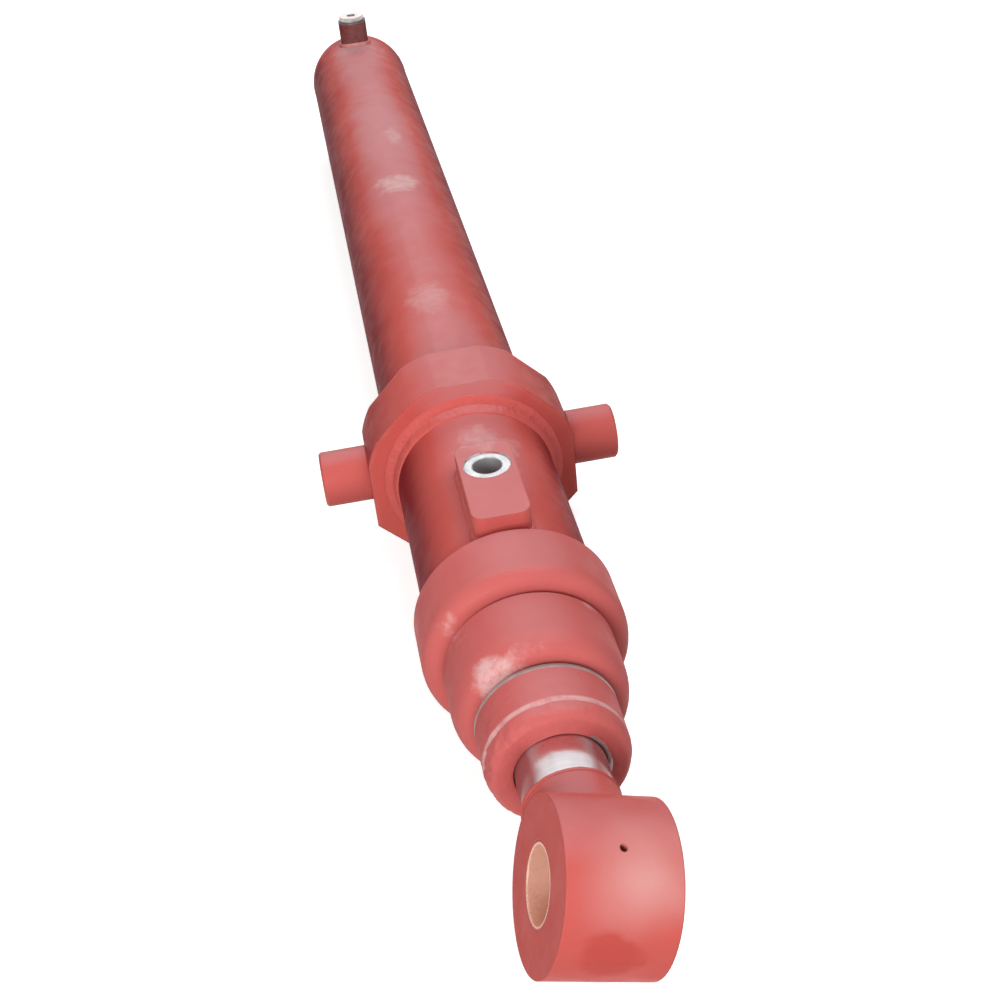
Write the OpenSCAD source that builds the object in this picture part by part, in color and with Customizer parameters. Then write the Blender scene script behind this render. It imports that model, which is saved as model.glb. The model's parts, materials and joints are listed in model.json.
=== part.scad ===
// Three-stage telescopic hydraulic cylinder with a trunnion ring on its barrel and a rod eye.
// The cylinder lies along Y with the rod eye at -Y, its trunnion pins along X and its ports on top.
// Z = 0 is the lower flat of the trunnion ring, and X = Y = 0 is the middle of the closed cylinder.
// Every distance called "back" is measured along the axis from the front face of the barrel head.

/* [Barrel] */
// Outer diameter of the barrel tube
barrel_od = 140; // [126:1:160]
// Wall of the barrel tube
barrel_wall = 8; // [6.5:0.5:9]
// Back of the base cap, the closed length of the barrel
barrel_len = 1417; // [900:1:2000]
// Thickness of the base cap outside the tube
cap_thick = 20; // [16:1:40]
// Rounding of the base cap's edge
cap_round = 12; // [4:1:15]
// Length of the base cap's spigot inside the tube
cap_spigot = 6; // [4:1:20]
// Width and height of the bead over the base cap's seam
base_bead = [7, 0.6];

/* [Trunnion] */
// Width of the octagonal ring across its flats
ring_flats = 185; // [168:1:230]
// How much more the ring's rounded upper corners measure across than its flats
ring_corner_extra = 6; // [2:1:14]
// Thickness of the ring along the axis
ring_thick = 65; // [54:1:80]
// Middle of the ring and of its pins, back from the head
ring_back = 300; // [230:1:600]
// Diameter of the trunnion pins
pin_d = 50; // [40:1:60]
// Overall length across the two pins
pin_span = 270; // [240:1:320]
// Depth of each pin's seat in the ring
pin_seat = 14; // [8:1:18]
// Diameter of the reduced end of each pin that sits in the ring
pin_seat_d = 40; // [30:1:46]
// Chamfer on the end of each pin
pin_chamfer = 2; // [1:0.5:4]
// Leg of the weld bead in front of the ring
ring_weld = 11; // [6:1:14]
// Leg of the weld bead behind the ring
ring_weld_back = 5.5; // [4:0.5:10]

/* [Port block] */
// Width of the port block
block_w = 46; // [38:1:60]
// Length of the port block
block_len = 108; // [70:1:140]
// Height of the port block over the top of the barrel
block_h = 18; // [14:1:30]
// Corner radius of the port block
block_round = 10; // [4:1:16]
// Gap between the barrel head and the port block
block_gap = 5; // [3:1:30]
// Port hole, back from the front of the port block
port_in_block = 74; // [26:1:100]
// Tapping diameter of both oil ports
port_d = 24.12; // [18:0.01:28]
// Diameter of the spot face around the port hole
port_face_d = 38; // [32:1:44]
// Diameter of the oil holes through the barrel wall
oil_d = 16; // [8:1:17]
// Depth that the tap's run-out goes into the barrel wall under the port block
tap_runout = 2; // [1.5:0.1:3]
// Leg of the weld bead around the port block
block_weld = 3; // [3:1:7]

/* [Base port] */
// Diameter of the port boss near the base
boss_d = 40; // [34:1:46]
// Height of the boss over the top of the barrel
boss_h = 32; // [28:1:60]
// Middle of the boss, forward from the back of the base cap
boss_from_end = 42; // [42:1:120]
// Depth of the tapped hole in the boss
tap_depth = 20; // [16:1:24]
// Diameter of the plug's flange
plug_d = 35; // [29:1:38]
// Thickness of the plug's flange
plug_flange = 5; // [3:1:8]
// Width across the flats of the plug's hexagon socket
plug_hex = 12; // [8:1:14]
// Depth of the plug's hexagon socket
plug_hex_depth = 9; // [6:1:10]
// Length of the plug's thread below the boss's face
plug_thread = 15; // [12:1:15]
// Thickness of the bonded seal under the plug
plug_seal = 1.5; // [1:0.1:2.5]

/* [Head and collars] */
// Outer diameter of the barrel head
head_od = 160; // [148:1:190]
// Length of the barrel head
head_len = 62; // [54:1:80]
// Rounding of the head's front edge, inwards and along the axis
head_nose = [13, 15];
// Chamfer on the head's back edge
head_tail = 4; // [1:0.5:8]
// Outer diameter of the first sleeve's collar
collar_1_od = 132; // [118:1:150]
// Length of the first sleeve's collar
collar_1_len = 63; // [54:1:80]
// Rounding of the first collar's front edge, inwards and along the axis
collar_1_nose = [12, 24];
// Outer diameter of the second sleeve's collar
collar_2_od = 105; // [94:1:120]
// Length of the second sleeve's collar
collar_2_len = 54; // [54:1:80]
// Rounding of the second collar's front edge, inwards and along the axis
collar_2_nose = [7, 12];
// Chamfer on the back edge of both collars
collar_tail = 2; // [1:0.5:4]
// Gap between one collar and the next when the cylinder is closed
closed_gap = 2; // [1:0.5:6]
// Depth of the socket that holds a tube in its collar
socket = 26; // [16:1:30]
// Length of the spigot that carries a collar's guide ring inside its tube
spigot = 58; // [40:1:90]

/* [Sleeves and plunger] */
// Outer diameter of the first sleeve
sleeve_1_od = 110; // [106:1:113]
// Wall of the first sleeve
sleeve_1_wall = 6.5; // [5:0.5:7]
// Outer diameter of the second sleeve
sleeve_2_od = 86; // [83:1:88]
// Wall of the second sleeve
sleeve_2_wall = 5.5; // [4:0.5:6]
// Diameter of the plunger rod
rod_od = 65; // [62:1:67]
// Wall of the hollow plunger rod
rod_wall = 8; // [6:0.5:12]
// Length of rod that shows between the last collar and the eye
rod_shows = 35; // [20:1:120]
// Space between the bottom of a tube and what it retracts onto
foot_gap = 8; // [4:1:30]
// Thickness of the ring that closes in the bottom of a sleeve
foot_thick = 12; // [8:1:20]

/* [Rod eye] */
// Outer diameter of the rod eye
eye_od = 114; // [96:1:130]
// Width of the rod eye along its bore
eye_w = 75; // [68:1:90]
// Bore of the eye's bush
eye_bore = 50; // [40:1:56]
// Wall of the bush
bush_wall = 2.5; // [2:0.5:5]
// Middle of the eye, forward from the end of the rod
eye_reach = 70; // [66:1:100]
// How much thicker the eye's neck is than the rod, all round
neck_extra = 1.5; // [1:0.5:3]
// Rounding between the neck and the eye, outwards and along the axis
neck_flare = [8, 25];
// Length of the eye's spigot inside the rod
eye_spigot = 30; // [15:1:60]
// Turn of the eye about the cylinder's axis, away from the trunnion pins
eye_turn = 18; // [-45:1:45]
// Tapping diameter of the grease hole
grease_d = 5; // [4:0.5:8]
// Turn of the grease hole from the top of the eye towards its front
grease_turn = 20; // [0:1:40]

/* [Seals and guides] */
// Wiper: distance in from the collar's face, width and depth of its groove
wiper = [3, 7, 4];
// Rod seal: distance in from the collar's face, width and depth of its groove
seal = [13, 10, 5];
// Guide ring: distance in from the spigot's end, width and depth of its groove
guide = [6, 22, 2.2];
// Width of the bearing ring on the bottom of each sleeve and of the plunger
bearing_w = 40; // [25:1:60]
// Width of the snap rings that hold a bearing ring
snap_w = 4; // [3:0.5:6]
// Height of a snap ring over its tube
snap_h = 2.6; // [2:0.1:3]
// Depth of a snap ring's groove
snap_depth = 1.5; // [1:0.1:2]
// Opening of a snap ring
snap_open = 8; // [4:1:14]

/* [Clearances] */
// Radial clearance where a tube slides in a guide ring, or a bearing ring in a tube
slide_gap = 0.08; // [0.02:0.01:0.1]
// Radial clearance between a collar and the tube that slides in it
body_gap = 0.5; // [0.3:0.1:1]
// Clearance of a seal or ring in its groove
groove_gap = 0.1; // [0.05:0.01:0.3]
// End float of a bearing ring between its snap rings
float_gap = 0.3; // [0.3:0.1:1]
// Clearance around the thread of a plug
thread_gap = 0.06; // [0.02:0.01:0.2]

/* [Hidden] */
$fn = 96;

paint = [0.78, 0.27, 0.25];
weld_paint = [0.70, 0.22, 0.20];
steel = [0.74, 0.74, 0.76];
plain_steel = [0.55, 0.56, 0.58];
bronze = [0.72, 0.52, 0.25];
seal_blue = [0.16, 0.30, 0.50];
rubber = [0.10, 0.10, 0.11];

// Radii of the tubes, outside and inside.
barrel_r = barrel_od / 2;
barrel_ri = barrel_r - barrel_wall;
sleeve_1_r = sleeve_1_od / 2;
sleeve_1_ri = sleeve_1_r - sleeve_1_wall;
sleeve_2_r = sleeve_2_od / 2;
sleeve_2_ri = sleeve_2_r - sleeve_2_wall;
rod_r = rod_od / 2;
rod_ri = rod_r - rod_wall;
port_r = port_d / 2;
neck_r = rod_r + neck_extra;
bush_r = eye_bore / 2 + bush_wall;
pin_shoulder = ring_flats / 2;
fit_gap = 0.05;
runout_gap = 0.4;

// Places along the axis, back from the front face of the barrel head.
collar_1_front = -closed_gap - collar_1_len;
collar_2_front = collar_1_front - closed_gap - collar_2_len;
rod_front = collar_2_front - rod_shows;
eye_mid = rod_front - eye_reach;
head_shoulder = head_len - socket;
collar_1_shoulder = collar_1_front + collar_1_len - socket;
collar_2_shoulder = collar_2_front + collar_2_len - socket;
cap_front = barrel_len - cap_thick;
sleeve_1_end = cap_front - 3 * foot_gap;
sleeve_2_end = sleeve_1_end - foot_thick - foot_gap;
rod_end = sleeve_2_end - foot_thick - foot_gap;
boss_back = barrel_len - boss_from_end;
block_front = head_len + block_gap;

// How far each stage travels: until its front snap ring meets the spigot around it.
snap_from_end = bearing_w + 2 * float_gap + 2 * snap_w + foot_thick;
stroke_1 = sleeve_1_end - snap_from_end - (head_shoulder + spigot) - closed_gap;
stroke_2 = sleeve_2_end - snap_from_end - (collar_1_shoulder + spigot) - closed_gap;
stroke_3 = rod_end - snap_from_end - (collar_2_shoulder + spigot) - closed_gap;
echo(stroke_1 = stroke_1, stroke_2 = stroke_2, stroke_3 = stroke_3);

// Place of the head's front face and of the axis in the part's frame.
head_y = -(barrel_len + eye_mid - eye_od / 2) / 2;
axis_z = ring_flats / 2;
echo(head_y = head_y, axis_z = axis_z, eye_y = head_y + eye_mid, ring_y = head_y + ring_back);
echo(port_y = head_y + block_front + port_in_block, boss_y = head_y + boss_back);

// Stands a shape drawn along Z on the cylinder's axis, pointing back along +Y.
module along_axis() {
    translate([0, head_y, axis_z])
        rotate([-90, 0, 0])
            children();
}

// Moves a shape drawn about the axis to a place along it, without turning it.
module at_back(back) {
    translate([0, head_y + back, axis_z])
        children();
}

// A ring about the axis between two radii and two places along it.
module ring(r_in, r_out, back, len) {
    rotate_extrude()
        translate([r_in, back])
            square([r_out - r_in, len]);
}

// Points of a quarter ellipse that rounds a front edge, from the face to the rim.
function nose_points(r, front, nose, steps = 8) =
    [
        for (i = [0:steps])
            let (a = 90 * i / steps)
                [r - nose[0] + nose[0] * sin(a), front + nose[1] - nose[1] * cos(a)]
    ];

// A collar: a body with grooves for a wiper and a seal, a socket around its tube, and a spigot
// inside the tube with a groove for the guide ring.
module collar_solid(front, len, r, nose, tail, tube_r, tube_ri, slide_r) {
    shoulder = front + len - socket;
    tip = shoulder + spigot;
    bore_r = slide_r + body_gap;
    outline = concat(
        [[bore_r, front]],
        nose_points(r, front, nose),
        [
            [r, front + len - tail],
            [r - tail, front + len],
            [tube_r + fit_gap, front + len],
            [tube_r + fit_gap, shoulder],
            [tube_ri - fit_gap, shoulder],
            [tube_ri - fit_gap, tip],
            [bore_r, tip]
        ]
    );
    along_axis()
        difference() {
            rotate_extrude()
                polygon(outline);
            ring(slide_r, slide_r + wiper[2], front + wiper[0], wiper[1]);
            ring(slide_r, slide_r + seal[2], front + seal[0], seal[1]);
            ring(slide_r, bore_r + guide[2], tip - guide[0] - guide[1], guide[1]);
        }
}

// The guide ring in the spigot of a collar.
module guide_ring(shoulder, slide_r) {
    back = shoulder + spigot - guide[0] - guide[1];
    along_axis()
        ring(
            slide_r + slide_gap,
            slide_r + body_gap + guide[2] - groove_gap,
            back + groove_gap,
            guide[1] - 2 * groove_gap
        );
}

// The lip seal of a collar, with its two lips facing the oil.
module rod_seal(front, slide_r) {
    back = front + seal[0] + groove_gap;
    r_in = slide_r + groove_gap;
    r_out = slide_r + seal[2] - groove_gap;
    width = seal[1] - 2 * groove_gap;
    third = (r_out - r_in) / 3;
    along_axis()
        rotate_extrude()
            polygon([
                [r_in, back],
                [r_out, back],
                [r_out, back + width],
                [r_out - third, back + width],
                [(r_in + r_out) / 2, back + width / 2],
                [r_in + third, back + width],
                [r_in, back + width]
            ]);
}

// The wiper of a collar, with its lip towards the front.
module wiper_ring(front, slide_r) {
    back = front + wiper[0] + groove_gap;
    r_in = slide_r + groove_gap;
    r_out = slide_r + wiper[2] - groove_gap;
    width = wiper[1] - 2 * groove_gap;
    along_axis()
        rotate_extrude()
            polygon([
                [r_in, back],
                [r_in + 1, back],
                [r_in + 1.5, back + width / 3],
                [r_out, back + width / 3],
                [r_out, back + width],
                [r_in, back + width]
            ]);
}

// Front of the first of the two snap rings on the bottom of a tube.
function snap_front(end) = end - snap_from_end;

// Front of the bearing ring that the two snap rings hold.
function bearing_front(end) = snap_front(end) + snap_w + float_gap;

// Front of the second snap ring.
function snap_second(end) = bearing_front(end) + bearing_w + float_gap;

// A tube with the two grooves for its snap rings.
module stage_tube(front, end, r, r_in) {
    along_axis()
        difference() {
            ring(r_in, r, front, end - front);
            ring(r - snap_depth, r + 1, snap_front(end), snap_w);
            ring(r - snap_depth, r + 1, snap_second(end), snap_w);
        }
}

// The two open snap rings on the bottom of a tube.
module snap_rings(end, r) {
    along_axis()
        for (back = [snap_front(end), snap_second(end)])
            difference() {
                ring(r - snap_depth + fit_gap, r + snap_h, back + fit_gap, snap_w - 2 * fit_gap);
                translate([-snap_open / 2, 0, back - 1])
                    cube([snap_open, r + snap_h + 2, snap_w + 2]);
            }
}

// The bearing ring that carries the bottom of a tube in the tube around it.
module bearing_ring(end, r, outer_ri) {
    along_axis()
        ring(r + slide_gap, outer_ri - slide_gap, bearing_front(end), bearing_w);
}

// Oil hole of a port, drawn upwards from the cylinder's axis.
module oil_hole() {
    cylinder(d = oil_d, h = barrel_r + block_h + boss_h);
}

module barrel_tube() {
    color(paint)
        difference() {
            along_axis()
                ring(barrel_ri, barrel_r, head_shoulder, cap_front - head_shoulder);
            at_back(boss_back)
                oil_hole();
            at_back(block_front + port_in_block) {
                oil_hole();
                translate([0, 0, barrel_r - tap_runout])
                    cylinder(r = port_r + runout_gap, h = block_h);
            }
        }
}

module base_cap() {
    color(paint)
        along_axis()
            rotate_extrude() {
                translate([0, cap_front - cap_spigot])
                    square([barrel_ri - fit_gap, cap_spigot]);
                translate([0, cap_front])
                    square([barrel_r, cap_thick - cap_round]);
                translate([0, cap_front])
                    square([barrel_r - cap_round, cap_thick]);
                intersection() {
                    translate([barrel_r - cap_round, barrel_len - cap_round])
                        circle(r = cap_round);
                    translate([0, cap_front])
                        square([barrel_r, cap_thick]);
                }
            }
}

// Low bead over the seam between the tube and the base cap, open under the port boss.
module base_weld() {
    half = base_bead[0] / 2;
    crown_r = barrel_r + base_bead[1];
    color(weld_paint)
        difference() {
            along_axis()
                rotate_extrude()
                    polygon([
                        [barrel_r, cap_front - half],
                        [crown_r, cap_front - half / 2],
                        [crown_r, cap_front + half / 2],
                        [barrel_r, cap_front + half]
                    ]);
            at_back(boss_back)
                cylinder(d = boss_d + 2 * body_gap, h = barrel_r + boss_h);
        }
}

module base_port_boss() {
    top = barrel_r + boss_h;
    color(paint)
        difference() {
            at_back(boss_back)
                difference() {
                    cylinder(d = boss_d, h = top);
                    translate([0, 0, top - tap_depth])
                        cylinder(r = port_r, h = tap_depth + 1);
                    oil_hole();
                }
            along_axis()
                cylinder(r = barrel_r, h = barrel_len);
        }
}

module base_port_plug() {
    face = barrel_r + boss_h;
    edge = 1;
    color(steel)
        at_back(boss_back)
            difference() {
                union() {
                    translate([0, 0, face + plug_seal])
                        cylinder(d = plug_d, h = plug_flange - edge);
                    translate([0, 0, face + plug_seal + plug_flange - edge])
                        cylinder(d1 = plug_d, d2 = plug_d - 2 * edge, h = edge);
                    translate([0, 0, face - plug_thread])
                        cylinder(r = port_r - thread_gap, h = plug_thread + plug_seal);
                }
                translate([0, 0, face + plug_seal + plug_flange - plug_hex_depth])
                    cylinder(d = plug_hex / cos(30), h = plug_hex_depth + 1, $fn = 6);
            }
}

module base_port_seal() {
    color(plain_steel)
        at_back(boss_back)
            translate([0, 0, barrel_r + boss_h])
                difference() {
                    cylinder(d = plug_d - 1, h = plug_seal);
                    translate([0, 0, -1])
                        cylinder(r = port_r + runout_gap, h = plug_seal + 2);
                }
}

// Octagonal ring with rounded upper corners, bored for the barrel and drilled for the two pins.
module trunnion_ring() {
    color(paint)
        difference() {
            along_axis()
                translate([0, 0, ring_back - ring_thick / 2])
                    difference() {
                        intersection() {
                            rotate([0, 0, 22.5])
                                cylinder(d = ring_flats / cos(22.5), h = ring_thick, $fn = 8);
                            union() {
                                cylinder(d = ring_flats + ring_corner_extra, h = ring_thick);
                                translate([-ring_flats, 0, 0])
                                    cube([2 * ring_flats, ring_flats, ring_thick]);
                            }
                        }
                        translate([0, 0, -1])
                            cylinder(r = barrel_r, h = ring_thick + 2);
                    }
            for (side = [-1, 1])
                at_back(ring_back)
                    rotate([0, 90 * side, 0])
                        translate([0, 0, pin_shoulder - pin_seat])
                            cylinder(d = pin_seat_d, h = pin_seat + 1);
        }
}

module trunnion_pin(side) {
    color(paint)
        at_back(ring_back)
            rotate([0, 90 * side, 0]) {
                translate([0, 0, pin_shoulder - pin_seat])
                    cylinder(d = pin_seat_d, h = pin_seat);
                translate([0, 0, pin_shoulder])
                    cylinder(d = pin_d, h = pin_span / 2 - pin_chamfer - pin_shoulder);
                translate([0, 0, pin_span / 2 - pin_chamfer])
                    cylinder(d1 = pin_d, d2 = pin_d - 2 * pin_chamfer, h = pin_chamfer);
            }
}

module trunnion_pin_left() {
    trunnion_pin(-1);
}

module trunnion_pin_right() {
    trunnion_pin(1);
}

// Hollow-faced bead between a face of the ring and the barrel; dir is -1 in front and 1 behind.
module ring_bead(face, dir, leg) {
    color(weld_paint)
        along_axis()
            rotate_extrude()
                polygon(concat(
                    [[barrel_r, face]],
                    [
                        for (i = [0:6])
                            let (a = 15 * i)
                                [barrel_r + leg * (1 - 0.8 * sin(a)), face + dir * leg * (1.2 - 1.1 * cos(a))]
                    ],
                    [[barrel_r, face + dir * leg * 1.35]]
                ));
}

module ring_weld_front() {
    ring_bead(ring_back - ring_thick / 2, -1, ring_weld);
}

module ring_weld_rear() {
    ring_bead(ring_back + ring_thick / 2, 1, ring_weld_back);
}

// Rectangle with round corners, centred across and starting at 0 along its length.
module rounded_plate(w, len, r) {
    for (x = [r - w / 2, w / 2 - r])
        for (y = [r, len - r])
            translate([x, y])
                circle(r = r);
    translate([r - w / 2, 0])
        square([w - 2 * r, len]);
    translate([-w / 2, r])
        square([w, len - 2 * r]);
}

module port_block() {
    top = barrel_r + block_h;
    color(paint)
        difference() {
            at_back(block_front)
                difference() {
                    linear_extrude(top)
                        rounded_plate(block_w, block_len, block_round);
                    translate([0, port_in_block, 0])
                        cylinder(r = port_r, h = top + 1);
                    translate([0, port_in_block, top - 1])
                        cylinder(d = port_face_d, h = 2);
                }
            along_axis()
                cylinder(r = barrel_r, h = barrel_len);
        }
}

module port_block_weld() {
    color(weld_paint)
        difference() {
            intersection() {
                at_back(block_front - block_weld / 2)
                    linear_extrude(barrel_r + block_h)
                        rounded_plate(block_w + 2 * block_weld, block_len + block_weld, block_round + block_weld);
                along_axis()
                    ring(barrel_r, barrel_r + block_weld * 0.6, 0, barrel_len);
            }
            at_back(block_front)
                linear_extrude(barrel_r + block_h)
                    rounded_plate(block_w, block_len, block_round);
        }
}

module barrel_head() {
    color(paint)
        collar_solid(0, head_len, head_od / 2, head_nose, head_tail, barrel_r, barrel_ri, sleeve_1_r);
}

module barrel_guide_ring() {
    color(bronze)
        guide_ring(head_shoulder, sleeve_1_r);
}

module barrel_rod_seal() {
    color(seal_blue)
        rod_seal(0, sleeve_1_r);
}

module barrel_wiper() {
    color(rubber)
        wiper_ring(0, sleeve_1_r);
}

module sleeve_1_tube() {
    color(steel)
        stage_tube(collar_1_shoulder, sleeve_1_end, sleeve_1_r, sleeve_1_ri);
}

module sleeve_1_collar() {
    color(paint)
        collar_solid(
            collar_1_front, collar_1_len, collar_1_od / 2,
            collar_1_nose, collar_tail, sleeve_1_r, sleeve_1_ri, sleeve_2_r
        );
}

module sleeve_1_foot() {
    color(plain_steel)
        along_axis()
            ring(sleeve_2_ri + 2, sleeve_1_ri - fit_gap, sleeve_1_end - foot_thick, foot_thick);
}

module sleeve_1_snap_rings() {
    color(plain_steel)
        snap_rings(sleeve_1_end, sleeve_1_r);
}

module sleeve_1_bearing_ring() {
    color(bronze)
        bearing_ring(sleeve_1_end, sleeve_1_r, barrel_ri);
}

module sleeve_1_guide_ring() {
    color(bronze)
        guide_ring(collar_1_shoulder, sleeve_2_r);
}

module sleeve_1_rod_seal() {
    color(seal_blue)
        rod_seal(collar_1_front, sleeve_2_r);
}

module sleeve_1_wiper() {
    color(rubber)
        wiper_ring(collar_1_front, sleeve_2_r);
}

module sleeve_2_tube() {
    color(steel)
        stage_tube(collar_2_shoulder, sleeve_2_end, sleeve_2_r, sleeve_2_ri);
}

module sleeve_2_collar() {
    color(paint)
        collar_solid(
            collar_2_front, collar_2_len, collar_2_od / 2,
            collar_2_nose, collar_tail, sleeve_2_r, sleeve_2_ri, rod_r
        );
}

module sleeve_2_foot() {
    color(plain_steel)
        along_axis()
            ring(rod_ri + 4, sleeve_2_ri - fit_gap, sleeve_2_end - foot_thick, foot_thick);
}

module sleeve_2_snap_rings() {
    color(plain_steel)
        snap_rings(sleeve_2_end, sleeve_2_r);
}

module sleeve_2_bearing_ring() {
    color(bronze)
        bearing_ring(sleeve_2_end, sleeve_2_r, sleeve_1_ri);
}

module sleeve_2_guide_ring() {
    color(bronze)
        guide_ring(collar_2_shoulder, rod_r);
}

module sleeve_2_rod_seal() {
    color(seal_blue)
        rod_seal(collar_2_front, rod_r);
}

module sleeve_2_wiper() {
    color(rubber)
        wiper_ring(collar_2_front, rod_r);
}

module plunger_rod() {
    color(steel)
        stage_tube(rod_front, rod_end, rod_r, rod_ri);
}

module plunger_foot() {
    color(plain_steel)
        along_axis()
            translate([0, 0, rod_end - foot_thick])
                cylinder(r = rod_ri - fit_gap, h = foot_thick);
}

module plunger_snap_rings() {
    color(plain_steel)
        snap_rings(rod_end, rod_r);
}

module plunger_bearing_ring() {
    color(bronze)
        bearing_ring(rod_end, rod_r, sleeve_2_ri);
}

// Turns a shape drawn about the eye's middle to the eye's own direction.
module in_eye() {
    at_back(eye_mid)
        rotate([0, eye_turn, 0])
            children();
}

module grease_hole() {
    rotate([grease_turn, 0, 0])
        cylinder(d = grease_d, h = eye_od);
}

// Round neck that widens along a hollow curve until it meets the eye's round head.
module eye_neck() {
    steps = 6;
    flare_end = sqrt(pow(eye_od / 2, 2) - pow(neck_r + neck_flare[0], 2));
    rotate([-90, 0, 0])
        rotate_extrude()
            polygon(concat(
                [[0, 0], [neck_r + neck_flare[0], 0]],
                [
                    for (i = [0:steps])
                        let (a = 90 * i / steps)
                            [
                                neck_r + neck_flare[0] * (1 - sin(a)),
                                flare_end + neck_flare[1] * (1 - cos(a))
                            ]
                ],
                [[neck_r, eye_reach], [0, eye_reach]]
            ));
}

module rod_eye() {
    overlap = 1;
    color(paint)
        in_eye()
            difference() {
                union() {
                    rotate([0, 90, 0])
                        cylinder(d = eye_od, h = eye_w, center = true);
                    intersection() {
                        eye_neck();
                        translate([-eye_w / 2, 0, -eye_od / 2])
                            cube([eye_w, eye_reach + 1, eye_od]);
                    }
                    translate([0, eye_reach - overlap, 0])
                        rotate([-90, 0, 0])
                            cylinder(r = rod_ri - fit_gap, h = eye_spigot + overlap);
                }
                rotate([0, 90, 0])
                    cylinder(r = bush_r, h = eye_w + 2, center = true);
                grease_hole();
            }
}

// Bead around the seam between the rod and the neck of the eye.
module eye_weld() {
    color(weld_paint)
        along_axis()
            rotate_extrude()
                polygon([
                    [rod_r, rod_front],
                    [neck_r, rod_front],
                    [rod_r + neck_extra * 0.8, rod_front + 2],
                    [rod_r, rod_front + 3]
                ]);
}

module eye_bush() {
    color(plain_steel)
        in_eye()
            difference() {
                rotate([0, 90, 0])
                    cylinder(r = bush_r, h = eye_w, center = true);
                rotate([0, 90, 0])
                    cylinder(d = eye_bore, h = eye_w + 2, center = true);
                grease_hole();
            }
}

barrel_tube();
base_cap();
base_weld();
base_port_boss();
base_port_plug();
base_port_seal();
trunnion_ring();
trunnion_pin_left();
trunnion_pin_right();
ring_weld_front();
ring_weld_rear();
port_block();
port_block_weld();
barrel_head();
barrel_guide_ring();
barrel_rod_seal();
barrel_wiper();
sleeve_1_tube();
sleeve_1_collar();
sleeve_1_foot();
sleeve_1_snap_rings();
sleeve_1_bearing_ring();
sleeve_1_guide_ring();
sleeve_1_rod_seal();
sleeve_1_wiper();
sleeve_2_tube();
sleeve_2_collar();
sleeve_2_foot();
sleeve_2_snap_rings();
sleeve_2_bearing_ring();
sleeve_2_guide_ring();
sleeve_2_rod_seal();
sleeve_2_wiper();
plunger_rod();
plunger_foot();
plunger_snap_rings();
plunger_bearing_ring();
rod_eye();
eye_weld();
eye_bush();
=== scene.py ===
import json
import math

import bpy
from bpy.props import FloatProperty, FloatVectorProperty, IntProperty, PointerProperty
from bpy.types import Operator, Panel, PropertyGroup
from mathutils import Matrix, Vector, noise


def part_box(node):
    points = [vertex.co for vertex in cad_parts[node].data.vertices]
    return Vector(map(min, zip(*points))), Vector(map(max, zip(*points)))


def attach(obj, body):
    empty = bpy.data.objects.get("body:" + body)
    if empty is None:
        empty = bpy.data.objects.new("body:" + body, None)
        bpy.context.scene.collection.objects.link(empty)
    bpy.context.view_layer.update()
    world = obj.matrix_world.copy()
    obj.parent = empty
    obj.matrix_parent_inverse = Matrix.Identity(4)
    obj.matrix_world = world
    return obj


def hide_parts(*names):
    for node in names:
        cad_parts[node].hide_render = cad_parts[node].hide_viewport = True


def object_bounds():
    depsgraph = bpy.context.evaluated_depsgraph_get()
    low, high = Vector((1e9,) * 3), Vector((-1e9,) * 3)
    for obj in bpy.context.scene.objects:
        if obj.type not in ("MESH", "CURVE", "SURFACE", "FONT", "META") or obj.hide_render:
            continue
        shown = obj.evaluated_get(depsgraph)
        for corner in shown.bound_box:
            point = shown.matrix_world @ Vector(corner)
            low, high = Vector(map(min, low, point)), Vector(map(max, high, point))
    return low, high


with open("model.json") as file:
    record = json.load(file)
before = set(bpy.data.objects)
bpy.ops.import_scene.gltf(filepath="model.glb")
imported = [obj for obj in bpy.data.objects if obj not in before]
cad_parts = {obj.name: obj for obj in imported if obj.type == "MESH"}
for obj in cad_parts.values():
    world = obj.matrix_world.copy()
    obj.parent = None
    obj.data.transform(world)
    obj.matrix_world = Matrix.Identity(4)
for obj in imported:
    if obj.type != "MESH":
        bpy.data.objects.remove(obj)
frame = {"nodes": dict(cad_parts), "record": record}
cad_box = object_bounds()

bl_info = {
    "name": "Telescopic Cylinder Finish",
    "version": (1, 0, 0),
    "blender": (4, 5, 0),
    "location": "View3D > Sidebar > Cylinder",
    "description": "Paints, welds and lights a closed telescopic hydraulic cylinder",
    "category": "Object",
}

FLOOR_HALF = 14.0  # half the width of the floor, in metres
FLOOR_GAP = 0.001  # between the cylinder's lowest place and the floor
BLOCK_CORNER = 0.010  # corner radius of the port block in plan
PATH_STEP = 0.0008  # distance between two sections of a bead on the barrel
ROUND_STEPS = 640  # sections of a bead around the barrel
ROD_STEPS = 360  # sections of a bead around the rod
BOSS_STEPS = 180  # sections of a bead around the base boss
SPOT_FACE_R = 0.0200  # outer radius of the machined face around the oil port
SHARP_TURN = math.radians(32)  # edges that turn more than this are rounded


# Places and sizes that come from the frame.


def corners(node):
    """Lowest and highest corner of a frame node, as vectors."""
    low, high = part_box(node)
    return Vector(low), Vector(high)


def middle(node):
    """Middle of a frame node's box."""
    low, high = corners(node)
    return (low + high) / 2


def radius(node):
    """Radius of a frame node that is round about the cylinder's axis."""
    low, high = corners(node)
    return (high.x - low.x) / 2


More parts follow.
